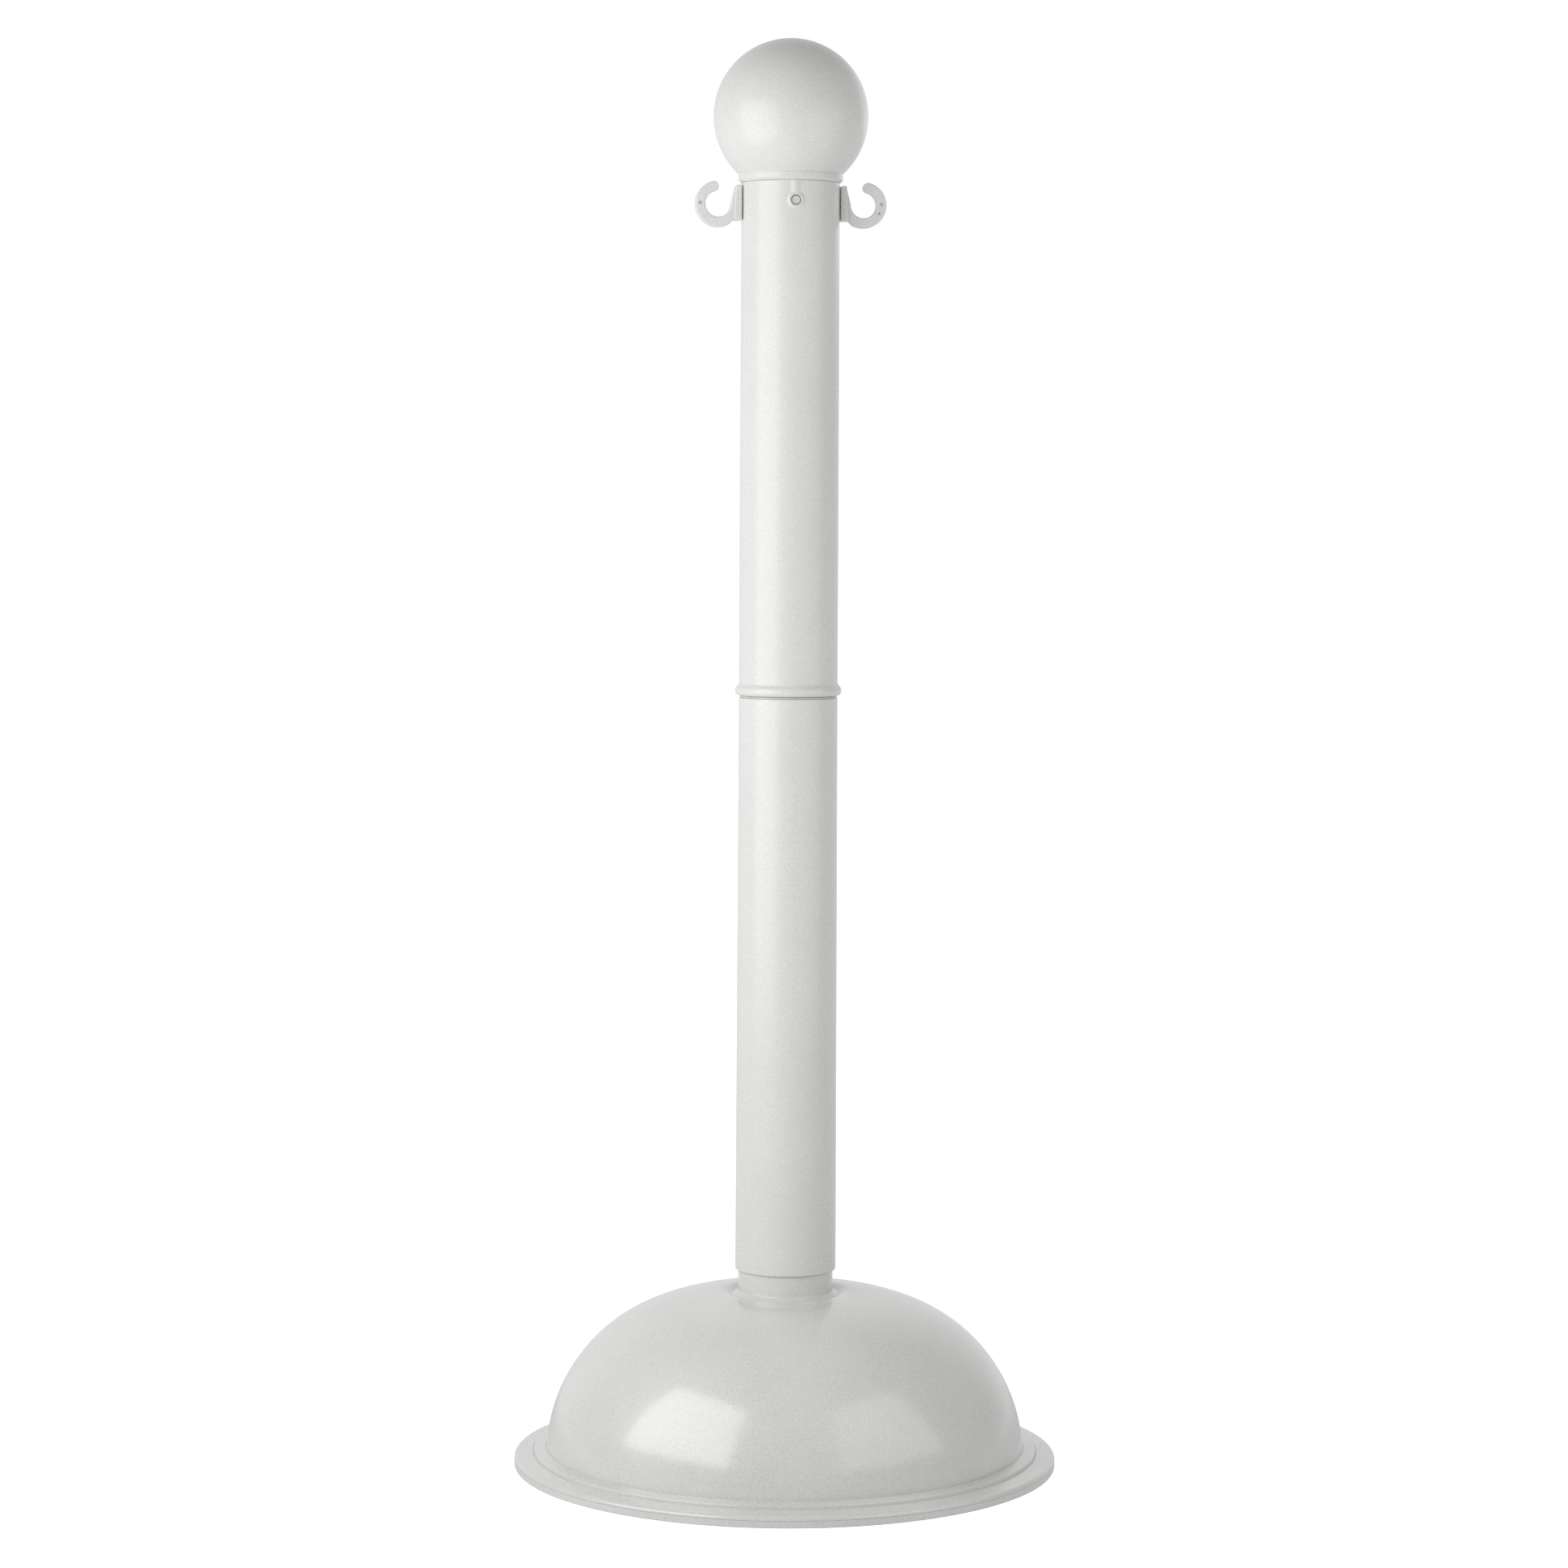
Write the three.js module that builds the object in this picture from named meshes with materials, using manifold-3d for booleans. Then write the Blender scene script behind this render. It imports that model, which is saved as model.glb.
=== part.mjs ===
// A plastic chain stanchion: a hollow ballast base with a stepped rim, a two-piece pole that lifts
// off the base's neck, a ball top that plugs into the pole, and two C hooks that hold a chain.
// Millimetres, +Z up. The origin is on the floor, on the pole's axis. The hooks point along +X and
// -X, and the two snap latches of the ball top face -Y (front) and +Y (rear).
import * as THREE from "three";
import { mergeVertices } from "three/addons/utils/BufferGeometryUtils.js";
import Module from "manifold-3d";

const wasm = await Module();
wasm.setup();

// ---- Driving dimensions ----------------------------------------------------------------------
const GAP = 0.3; // clearance between pieces that touch on the real object
const ROUND_SIDES = 44; // sides of every large round piece
const SMALL_SIDES = 20; // sides of pegs, studs and holes

// Base
const BASE_RADIUS = 203; // a 16 inch base
const BASE_WALL = 3;
const PAN_EDGE = 5; // height of the pan's edge, the lower part of the rim
const FLANGE_TOP = 7.6; // height of the flange at its rounded outer edge
const STEP_RADIUS = 188.4; // where the raised inner ring of the rim steps up
const STEP_LOW = 10;
const STEP_HIGH = 12.6;
const DOME_FOOT_RADIUS = 178.6;
const DOME_FOOT = 14;
const DOME_RISE = 118.3; // from the dome's foot to its apex
const DOME_RADIUS_POWER = 3; // the dome is a superellipse, squarer in plan than in height
const DOME_HEIGHT_POWER = 1.776;
const EDGE_ROUNDING = 1.7;
const MOAT_RADIUS = 51; // from here the dome dips towards the neck
const NECK_FOOT_RADIUS = 40.4; // the neck flares out at its foot, at the bottom of the dip
const NECK_FOOT_LOW = 127.1;
const NECK_FOOT_HIGH = 131.5;
const NECK_RADIUS = 35.5;
const NECK_TOP = 147;
const SPIGOT_RADIUS = 34.8; // the hidden part of the neck, inside the lower tube
const SPIGOT_TOP = 225;

// Bottom pan and its filler
const PAN_THICKNESS = 2.5;
const PAN_LIFT = 6.5; // the middle of the pan stands clear of the floor
const PAN_FOOT_RADIUS = 166; // inner radius of the ring that the base stands on
const PAN_SLOPE = 6; // width of the pan's slope, from the foot ring up to its middle
const PAN_LIP = 3.5; // width of the upright edge
const PAN_RIB_RADIUS = 174.9; // rib that locates the pan inside the dome's foot
const PAN_RIB_WIDTH = 2.7;
const FILLER_Y = 95; // the filler is behind the neck
const FILLER_BORE = 12.8;
const FILLER_BOSS_RADIUS = 15.5;
const FILLER_BOSS_TOP = 17;
const THREAD_PITCH = 3;
const THREAD_DEPTH = 0.7;
const PLUG_HEAD_RADIUS = 17.5;
const PLUG_HEAD_LOW = 1.5;
const PLUG_HEAD_HIGH = 4.5;
const PLUG_TOP = 16.5;
const PLUG_SLOT = { length: 24, width: 4, depth: 1.6 }; // for a coin

// Pole: each tube widens a little towards its foot
const TUBE_WALL = 2.2;
const LOWER_FOOT_RADIUS = 37.7;
const LOWER_TOP_RADIUS = 36.7;
const FOOT_ROUNDING = 2;
const UPPER_FOOT_RADIUS = 36.8;
const UPPER_TOP_RADIUS = 36.2;
const SEAM = 577.1; // height of the joint between the tubes
const POLE_TOP = 955.5;
const BEAD_MIDDLE = 581.6;
const BEAD_PROUD = 2.8;
const BEAD_HALF_HEIGHT = 4.2;
const COUPLER_RADIUS = 34;
const COUPLER_WALL = 2.5;
const COUPLER_REACH = 60; // into each tube
const COUPLER_RIB_RADIUS = 36.2; // thin rib between the tubes' ends
const COUPLER_RIB_HALF = 0.4;

// Ball top and its latches
const BALL_RADIUS = 57;
const BALL_CENTRE = 1004.4;
const BALL_WALL = 2.5;
const COLLAR_RADIUS = 38.55;
const COLLAR_TOP = 961.3;
const COLLAR_CHAMFER = 1.8;
const SKIRT_RADIUS = 33.7;
const SKIRT_WALL = 2.5;
const SKIRT_LENGTH = 30;
const LATCH_WIDTH = 13.4;
const LATCH_ROOT = 949.7;
const HOLE_HEIGHT = 941.2; // height of the four holes in the upper tube
const HOLE_RADIUS = 3.8;
const STUD_RADIUS = 3.3;
const STUD_FACE = 35.1; // distance of the stud's face from the axis
const CHANNEL_WIDTH = 7.5; // groove inside the tube, where the stud slides in
const CHANNEL_FLOOR = 35.4;
const RIDGE_PROUD = 0.9; // the groove shows outside as a soft ridge
const RIDGE_WIDTH = 9.5;
const LIP_RADIUS = 6.8; // raised lip around a latch hole
const LIP_PROUD = 0.8;

// Chain hooks, as distances from the pole's axis and heights
const PLATE_BACK = 36.55;
const PLATE_LOW = 928.1;
const PLATE_HIGH = 953.7;
const PLATE_THICK_LOW = 5.7;
const PLATE_THICK_HIGH = 4.5;
const PLATE_WIDTH = 14;
const HOOK_CENTRE = 53.9;
const HOOK_HEIGHT = 940;
const HOOK_INNER = 9.5;
const HOOK_OUTER = 16.9;
const HOOK_WIDTH = 9;
const HOOK_TIP_ANGLE = 75; // degrees above the horizontal
const PEG_RADIUS = 3.5;
const PEG_END = 28.6;
const PEG_SPLIT = 1.6;

// ---- Materials ---------------------------------------------------------------------------------
const satinWhite = () => new THREE.MeshStandardMaterial({ color: 0xdedddb, roughness: 0.45, metalness: 0 });
const glossWhite = () => new THREE.MeshStandardMaterial({ color: 0xdad9d7, roughness: 0.22, metalness: 0 });
const greyPlastic = () => new THREE.MeshStandardMaterial({ color: 0x9c9da0, roughness: 0.55, metalness: 0 });
const blackRubber = () => new THREE.MeshStandardMaterial({ color: 0x202022, roughness: 0.85, metalness: 0 });

// ---- Helpers -----------------------------------------------------------------------------------
const radians = (degrees) => (degrees * Math.PI) / 180;
const point = (r, z) => new THREE.Vector2(r, z);

// Points on an elliptical arc in the radius and height plane, both ends included.
function arc(r, z, radiusR, radiusZ, fromDegrees, toDegrees, steps) {
  return Array.from({ length: steps + 1 }, (_, i) => {
    const a = radians(fromDegrees + ((toDegrees - fromDegrees) * i) / steps);
    return point(r + radiusR * Math.cos(a), z + radiusZ * Math.sin(a));
  });
}

// A profile turned about Z. It runs counterclockwise: outwards below, up outside, inwards above.
function turned(profile, sides = ROUND_SIDES) {
  return new THREE.LatheGeometry(profile, sides).rotateX(Math.PI / 2);
}

// A ring turned about Z, from its closed profile.
const turnedRing = (profile, sides) => turned([...profile, profile[0]], sides);

// A round bar along Y, through the height z, between two distances from the axis.
function barAlongY(radius, from, to, z, sides = SMALL_SIDES) {
  return new THREE.CylinderGeometry(radius, radius, to - from, sides).translate(0, (from + to) / 2, z);
}

function block(low, high) {
  const size = high.map((v, i) => v - low[i]);
  const middle = high.map((v, i) => (v + low[i]) / 2);
  return new THREE.BoxGeometry(...size).translate(...middle);
}

// A side outline in distance and height, extruded across Y and centred on it, with bevelled edges.
function extrudedAcross(shape, width, bevel) {
  const geometry = new THREE.ExtrudeGeometry(shape, {
    depth: width - 2 * bevel,
    bevelSize: bevel,
    bevelThickness: bevel,
    bevelOffset: -bevel,
    bevelSegments: 1,
    curveSegments: 9,
  });
  return geometry.rotateX(Math.PI / 2).translate(0, width / 2 - bevel, 0);
}

function solid(geometry) {
  const bare = geometry.clone();
  bare.deleteAttribute("normal");
  bare.deleteAttribute("uv");
  const merged = mergeVertices(bare, 1e-4);
  return new wasm.Manifold(
    new wasm.Mesh({
      numProp: 3,
      vertProperties: new Float32Array(merged.attributes.position.array),
      triVerts: new Uint32Array(merged.index.array),
    }),
  );
}

function geometryOf(manifold) {
  const mesh = manifold.getMesh();
  const geometry = new THREE.BufferGeometry();
  geometry.setAttribute("position", new THREE.BufferAttribute(new Float32Array(mesh.vertProperties), 3));
  geometry.setIndex(new THREE.BufferAttribute(new Uint32Array(mesh.triVerts), 1));
  geometry.computeVertexNormals();
  return geometry;
}

function named(name, geometry, material) {
  const mesh = new THREE.Mesh(geometry, material);
  mesh.name = name;
  return mesh;
}

// ---- Base --------------------------------------------------------------------------------------
// Radius and height on a dome, at a parameter from 0 at its foot to 1 at its apex.
function domePoint(footRadius, rise, t) {
  const a = (t * Math.PI) / 2;
  const r = footRadius * Math.cos(a) ** (2 / DOME_RADIUS_POWER);
  return point(r, DOME_FOOT + rise * Math.sin(a) ** (2 / DOME_HEIGHT_POWER));
}

function domeProfile(footRadius, rise, smallestRadius, steps) {
  return Array.from({ length: steps }, (_, i) => domePoint(footRadius, rise, i / steps)).filter(
    (p) => p.x > smallestRadius,
  );
}

const domeHeight = (r) => {
  const share = 1 - (r / DOME_FOOT_RADIUS) ** DOME_RADIUS_POWER;
  return DOME_FOOT + DOME_RISE * share ** (1 / DOME_HEIGHT_POWER);
};

// The dip in the dome around the neck, from its outer edge to the foot of the neck's flare.
function moat() {
  const depth = domeHeight(NECK_FOOT_RADIUS) - NECK_FOOT_LOW;
  return [1, 0.75, 0.5, 0.25, 0].map((share) => {
    const r = NECK_FOOT_RADIUS + share * (MOAT_RADIUS - NECK_FOOT_RADIUS);
    return point(r, domeHeight(r) - depth * (1 - share) ** 2);
  });
}

function baseShell() {
  const neckBore = SPIGOT_RADIUS - BASE_WALL;
  const soften = 0.6; // small roundings of the rim's steps
  const spigotChamfer = 2;
  const insideDome = domeProfile(DOME_FOOT_RADIUS - BASE_WALL, DOME_RISE - BASE_WALL, MOAT_RADIUS + 2, 8);
  const inside = [
    point(0, SPIGOT_TOP - BASE_WALL),
    point(neckBore, SPIGOT_TOP - BASE_WALL),
    point(neckBore, NECK_FOOT_LOW - BASE_WALL),
    ...moat().reverse().map((p) => point(p.x, p.y - BASE_WALL)),
    ...insideDome.reverse(),
    point(DOME_FOOT_RADIUS - BASE_WALL, STEP_HIGH - BASE_WALL + 1),
    point(STEP_RADIUS - BASE_WALL, STEP_HIGH - BASE_WALL),
    point(STEP_RADIUS - soften, STEP_LOW - BASE_WALL),
  ];
  const rim = [
    point(BASE_RADIUS, PAN_EDGE + GAP),
    ...arc(BASE_RADIUS - EDGE_ROUNDING, FLANGE_TOP - EDGE_ROUNDING, EDGE_ROUNDING, EDGE_ROUNDING, 0, 80, 3),
    point(STEP_RADIUS + soften, STEP_LOW),
    point(STEP_RADIUS, STEP_LOW + soften),
    point(STEP_RADIUS - soften / 2, STEP_HIGH - soften),
    point(STEP_RADIUS - 2 * soften, STEP_HIGH),
    point(DOME_FOOT_RADIUS + soften, DOME_FOOT - soften / 2),
  ];
  const dome = domeProfile(DOME_FOOT_RADIUS, DOME_RISE, MOAT_RADIUS + 2, 14);
  const neck = [
    point(NECK_RADIUS, NECK_FOOT_HIGH),
    point(NECK_RADIUS, NECK_TOP),
    point(SPIGOT_RADIUS, NECK_TOP),
    point(SPIGOT_RADIUS, SPIGOT_TOP - spigotChamfer),
    point(SPIGOT_RADIUS - spigotChamfer, SPIGOT_TOP),
    point(0, SPIGOT_TOP),
  ];
  return turned([...inside, ...rim, ...dome, ...moat(), ...neck]);
}

function basePan() {
  const footChamfer = 1;
  const ribInner = PAN_RIB_RADIUS - PAN_RIB_WIDTH;
  const slopeFoot = PAN_FOOT_RADIUS + PAN_THICKNESS / 2;
  const disc = turned([
    point(0, PAN_LIFT),
    point(PAN_FOOT_RADIUS - PAN_SLOPE, PAN_LIFT),
    point(PAN_FOOT_RADIUS, 0),
    point(BASE_RADIUS - footChamfer, 0),
    point(BASE_RADIUS, footChamfer),
    point(BASE_RADIUS, PAN_EDGE),
    point(BASE_RADIUS - PAN_LIP, PAN_EDGE),
    point(BASE_RADIUS - PAN_LIP, PAN_THICKNESS),
    point(PAN_RIB_RADIUS, PAN_THICKNESS),
    point(PAN_RIB_RADIUS, PAN_LIFT + PAN_THICKNESS),
    point(ribInner, PAN_LIFT + PAN_THICKNESS),
    point(ribInner, PAN_THICKNESS),
    point(slopeFoot, PAN_THICKNESS),
    point(slopeFoot - PAN_SLOPE, PAN_LIFT + PAN_THICKNESS),
    point(0, PAN_LIFT + PAN_THICKNESS),
  ]);
  const upright = (radius, low, high) =>
    solid(
      new THREE.CylinderGeometry(radius, radius, high - low, SMALL_SIDES)
        .rotateX(Math.PI / 2)
        .translate(0, FILLER_Y, (low + high) / 2),
    );
  const boss = upright(FILLER_BOSS_RADIUS, PAN_LIFT + PAN_THICKNESS / 2, FILLER_BOSS_TOP);
  const bore = upright(FILLER_BORE, 0, FILLER_BOSS_TOP + 1);
  return geometryOf(solid(disc).add(boss).subtract(bore));
}

function fillerPlug() {
  const chamfer = 1;
  const crest = FILLER_BORE - 0.4;
  const root = crest - THREAD_DEPTH;
  const turnHeight = 0.8 * THREAD_PITCH;
  const turns = [0, 1, 2].flatMap((i) => {
    const z = PLUG_HEAD_HIGH + turnHeight + i * THREAD_PITCH;
    const flank = THREAD_PITCH * 0.3;
    return [point(root, z), point(crest, z + flank), point(crest, z + turnHeight - flank), point(root, z + turnHeight)];
  });
  const body = turned(
    [
      point(0, PLUG_HEAD_LOW),
      point(PLUG_HEAD_RADIUS - chamfer, PLUG_HEAD_LOW),
      point(PLUG_HEAD_RADIUS, PLUG_HEAD_LOW + chamfer),
      point(PLUG_HEAD_RADIUS, PLUG_HEAD_HIGH),
      point(root, PLUG_HEAD_HIGH),
      ...turns,
      point(root - chamfer, PLUG_TOP),
      point(0, PLUG_TOP),
    ],
    SMALL_SIDES,
  );
  const slot = block(
    [-PLUG_SLOT.length / 2, -PLUG_SLOT.width / 2, 0],
    [PLUG_SLOT.length / 2, PLUG_SLOT.width / 2, PLUG_HEAD_LOW + PLUG_SLOT.depth],
  );
  return geometryOf(solid(body).subtract(solid(slot)));
}

function fillerSeal() {
  const play = 0.2;
  const low = PLUG_HEAD_HIGH + play;
  const high = PAN_LIFT - play;
  const inner = FILLER_BORE + play;
  const outer = PLUG_HEAD_RADIUS - 0.7;
  return turnedRing([point(inner, low), point(outer, low), point(outer, high), point(inner, high)], SMALL_SIDES);
}

// ---- Pole --------------------------------------------------------------------------------------
function lowerTube() {
  const chamfer = 0.8;
  const foot = NECK_TOP + GAP;
  const top = SEAM - COUPLER_RIB_HALF - GAP;
  return turnedRing([
    point(LOWER_FOOT_RADIUS - TUBE_WALL, foot),
    ...arc(LOWER_FOOT_RADIUS - FOOT_ROUNDING, foot + FOOT_ROUNDING, FOOT_ROUNDING, FOOT_ROUNDING, -90, 0, 4),
    point(LOWER_TOP_RADIUS, top - chamfer),
    point(LOWER_TOP_RADIUS - chamfer, top),
    point(LOWER_TOP_RADIUS - TUBE_WALL, top),
  ]);
}

function couplerSleeve() {
  const inner = COUPLER_RADIUS - COUPLER_WALL;
  const low = SEAM - COUPLER_REACH;
  const high = SEAM + COUPLER_REACH;
  const chamfer = 1;
  return turnedRing([
    point(inner, low),
    point(COUPLER_RADIUS - chamfer, low),
    point(COUPLER_RADIUS, low + chamfer),
    point(COUPLER_RADIUS, SEAM - COUPLER_RIB_HALF),
    point(COUPLER_RIB_RADIUS, SEAM - COUPLER_RIB_HALF),
    point(COUPLER_RIB_RADIUS, SEAM + COUPLER_RIB_HALF),
    point(COUPLER_RADIUS, SEAM + COUPLER_RIB_HALF),
    point(COUPLER_RADIUS, high - chamfer),
    point(COUPLER_RADIUS - chamfer, high),
    point(inner, high),
  ]);
}

// A ridge over a stud's channel, from the hole up to the tube's end, on the +Y side.
function channelRidge() {
  const steps = 6;
  const shape = new THREE.Shape();
  const buried = UPPER_TOP_RADIUS - 1;
  shape.moveTo(-RIDGE_WIDTH / 2, buried);
  shape.lineTo(RIDGE_WIDTH / 2, buried);
  for (let i = 0; i <= steps; i++) {
    const x = RIDGE_WIDTH * (0.5 - i / steps);
    const round = Math.sqrt(UPPER_TOP_RADIUS ** 2 - x ** 2);
    shape.lineTo(x, round + RIDGE_PROUD * Math.cos((Math.PI * x) / RIDGE_WIDTH) ** 2);
  }
  const length = POLE_TOP - HOLE_HEIGHT;
  return new THREE.ExtrudeGeometry(shape, { depth: length, bevelEnabled: false }).translate(0, 0, HOLE_HEIGHT);
}

// The lip around a latch hole, a low cone along +Y.
function holeLip() {
  const face = UPPER_TOP_RADIUS + LIP_PROUD;
  const buried = UPPER_TOP_RADIUS - 1.2;
  return new THREE.LatheGeometry(
    [point(0, buried), point(LIP_RADIUS, buried), point(HOLE_RADIUS + 1, face), point(0, face)],
    SMALL_SIDES,
  ).translate(0, 0, HOLE_HEIGHT);
}

function upperTube() {
  const foot = SEAM + COUPLER_RIB_HALF + GAP;
  const flare = 0.4; // where the tube runs out into the bead
  let tube = solid(
    turnedRing([
      point(UPPER_FOOT_RADIUS - TUBE_WALL, foot),
      ...arc(UPPER_FOOT_RADIUS, BEAD_MIDDLE, BEAD_PROUD, BEAD_HALF_HEIGHT, -64, 64, 5),
      point(UPPER_FOOT_RADIUS + flare, BEAD_MIDDLE + BEAD_HALF_HEIGHT + flare),
      point(UPPER_FOOT_RADIUS, BEAD_MIDDLE + BEAD_HALF_HEIGHT + 4 * flare),
      point(UPPER_TOP_RADIUS, POLE_TOP),
      point(UPPER_TOP_RADIUS - TUBE_WALL, POLE_TOP),
    ]),
  );
  const channelLow = HOLE_HEIGHT - CHANNEL_WIDTH / 2;
  const channel = block(
    [-CHANNEL_WIDTH / 2, UPPER_TOP_RADIUS - 2 * TUBE_WALL, channelLow],
    [CHANNEL_WIDTH / 2, CHANNEL_FLOOR, POLE_TOP + 1],
  );
  const hole = barAlongY(HOLE_RADIUS, UPPER_TOP_RADIUS - 2 * TUBE_WALL, UPPER_TOP_RADIUS + 5, HOLE_HEIGHT);
  for (const side of [0, 180]) {
    const turn = radians(side);
    tube = tube.add(solid(channelRidge().rotateZ(turn))).add(solid(holeLip().rotateZ(turn)));
  }
  for (const side of [0, 180]) tube = tube.subtract(solid(channel.clone().rotateZ(radians(side))));
  for (const side of [0, 90, 180, 270]) tube = tube.subtract(solid(hole.clone().rotateZ(radians(side))));
  return geometryOf(tube);
}

// ---- Ball top ----------------------------------------------------------------------------------
function ballTop() {
  const inner = BALL_RADIUS - BALL_WALL;
  const skirtInner = SKIRT_RADIUS - SKIRT_WALL;
  const underCollar = POLE_TOP + GAP;
  const skirtLow = underCollar - SKIRT_LENGTH;
  const angleAt = (radius, height) => (Math.asin((height - BALL_CENTRE) / radius) * 180) / Math.PI;
  const innerEnd = (-Math.acos(skirtInner / inner) * 180) / Math.PI;
  const body = turned([
    ...arc(0, BALL_CENTRE, inner, inner, 90, innerEnd, 9),
    point(skirtInner, skirtLow),
    point(SKIRT_RADIUS - 0.8, skirtLow),
    point(SKIRT_RADIUS, skirtLow + 1.5),
    point(SKIRT_RADIUS, underCollar),
    point(COLLAR_RADIUS - COLLAR_CHAMFER, underCollar),
    point(COLLAR_RADIUS, underCollar + COLLAR_CHAMFER),
    point(COLLAR_RADIUS, COLLAR_TOP),
    ...arc(0, BALL_CENTRE, BALL_RADIUS, BALL_RADIUS, angleAt(BALL_RADIUS, COLLAR_TOP + 0.6), 90, 14),
  ]);
  const latchSlot = LATCH_WIDTH / 2 + GAP;
  const latchWindow = block(
    [-latchSlot, skirtInner - 3, skirtLow - 1],
    [latchSlot, SKIRT_RADIUS + 1, LATCH_ROOT + GAP],
  );
  const pegSlot = PEG_RADIUS + 0.7;
  const pegWindow = block(
    [skirtInner - 3, -pegSlot, skirtLow - 1],
    [SKIRT_RADIUS + 1, pegSlot, HOLE_HEIGHT + pegSlot],
  );
  let cut = solid(body);
  for (const side of [0, 180]) {
    cut = cut.subtract(solid(latchWindow.clone().rotateZ(radians(side))));
    cut = cut.subtract(solid(pegWindow.clone().rotateZ(radians(side))));
  }
  return geometryOf(cut);
}

// A snap tongue with its stud, on the +Y side.
function latchTongue() {
  const skirtInner = SKIRT_RADIUS - SKIRT_WALL;
  const low = POLE_TOP + GAP - SKIRT_LENGTH + 0.4;
  const ring = turnedRing([
    point(skirtInner, low),
    point(SKIRT_RADIUS, low),
    point(SKIRT_RADIUS, LATCH_ROOT),
    point(skirtInner, LATCH_ROOT),
  ]);
  const strip = block([-LATCH_WIDTH / 2, 0, low - 1], [LATCH_WIDTH / 2, SKIRT_RADIUS + 1, LATCH_ROOT + 1]);
  const rounding = 0.7;
  const stud = new THREE.LatheGeometry(
    [
      point(0, skirtInner + 1),
      point(STUD_RADIUS, skirtInner + 1),
      point(STUD_RADIUS, STUD_FACE - rounding),
      point(STUD_RADIUS - rounding, STUD_FACE),
      point(0, STUD_FACE),
    ],
    SMALL_SIDES,
  ).translate(0, 0, HOLE_HEIGHT);
  return geometryOf(solid(ring).intersect(solid(strip)).add(solid(stud)));
}

// ---- Chain hooks -------------------------------------------------------------------------------
// Side outline of the C: round the outside, over the tip, back round the inside, up the plate.
function hookOutline() {
  const tip = radians(HOOK_TIP_ANGLE);
  const middle = (HOOK_INNER + HOOK_OUTER) / 2;
  const blendAngle = radians(-122);
  const shape = new THREE.Shape();
  shape.moveTo(PLATE_BACK + 1, PLATE_LOW + 0.6);
  shape.lineTo(PLATE_BACK + 4.5, PLATE_LOW + 0.4);
  shape.quadraticCurveTo(
    PLATE_BACK + 7,
    PLATE_LOW,
    HOOK_CENTRE + HOOK_OUTER * Math.cos(blendAngle),
    HOOK_HEIGHT + HOOK_OUTER * Math.sin(blendAngle),
  );
  shape.absarc(HOOK_CENTRE, HOOK_HEIGHT, HOOK_OUTER, blendAngle, tip, false);
  shape.absarc(
    HOOK_CENTRE + middle * Math.cos(tip),
    HOOK_HEIGHT + middle * Math.sin(tip),
    (HOOK_OUTER - HOOK_INNER) / 2,
    tip,
    tip + Math.PI,
    false,
  );
  shape.absarc(HOOK_CENTRE, HOOK_HEIGHT, HOOK_INNER, tip, -Math.PI, true);
  shape.lineTo(PLATE_BACK + PLATE_THICK_HIGH, PLATE_HIGH - 0.4);
  shape.lineTo(PLATE_BACK + 1, PLATE_HIGH - 0.4);
  return shape;
}

function hookPlate() {
  const shape = new THREE.Shape();
  shape.moveTo(PLATE_BACK, PLATE_LOW);
  shape.lineTo(PLATE_BACK + PLATE_THICK_LOW, PLATE_LOW);
  shape.lineTo(PLATE_BACK + PLATE_THICK_HIGH, PLATE_HIGH);
  shape.lineTo(PLATE_BACK, PLATE_HIGH);
  return extrudedAcross(shape, PLATE_WIDTH, 0.6);
}

// A hook pointing along +X, with the split peg that goes through the tube.
function chainHook() {
  const pegPart = new THREE.CylinderGeometry(PEG_RADIUS, PEG_RADIUS, PLATE_BACK + 2 - PEG_END - 1, SMALL_SIDES)
    .rotateZ(Math.PI / 2)
    .translate((PLATE_BACK + 2 + PEG_END + 1) / 2, 0, HOLE_HEIGHT);
  const pegNose = new THREE.CylinderGeometry(PEG_RADIUS - 0.9, PEG_RADIUS, 1, SMALL_SIDES)
    .rotateZ(Math.PI / 2)
    .translate(PEG_END + 0.5, 0, HOLE_HEIGHT);
  const split = block(
    [PEG_END - 1, -PEG_SPLIT / 2, HOLE_HEIGHT - PEG_RADIUS - 1],
    [PLATE_BACK - 2.5, PEG_SPLIT / 2, HOLE_HEIGHT + PEG_RADIUS + 1],
  );
  const hook = solid(extrudedAcross(hookOutline(), HOOK_WIDTH, 0.8));
  const peg = solid(pegPart).add(solid(pegNose)).subtract(solid(split));
  return geometryOf(hook.add(solid(hookPlate())).add(peg));
}

// ---- The assembly ------------------------------------------------------------------------------
const stanchion = new THREE.Group();

const base = new THREE.Group();
base.add(named("base_shell", baseShell(), glossWhite()));
base.add(named("base_pan", basePan(), glossWhite()));
const filler = new THREE.Group();
filler.position.set(0, FILLER_Y, 0);
filler.add(named("filler_plug", fillerPlug(), greyPlastic()));
filler.add(named("filler_seal", fillerSeal(), blackRubber()));
base.add(filler);
stanchion.add(base);

const pole = new THREE.Group();
pole.add(named("lower_tube", lowerTube(), satinWhite()));
pole.add(named("coupler_sleeve", couplerSleeve(), satinWhite()));
pole.add(named("upper_tube", upperTube(), satinWhite()));
stanchion.add(pole);

const top = new THREE.Group();
top.add(named("ball_top", ballTop(), satinWhite()));
for (const [name, side] of [["latch_rear", 0], ["latch_front", 180]]) {
  const latch = named(name, latchTongue(), satinWhite());
  latch.rotation.z = radians(side);
  top.add(latch);
}
stanchion.add(top);

for (const [name, side] of [["hook_right", 0], ["hook_left", 180]]) {
  const hook = named(name, chainHook(), satinWhite());
  hook.rotation.z = radians(side);
  stanchion.add(hook);
}

export default stanchion;
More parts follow.
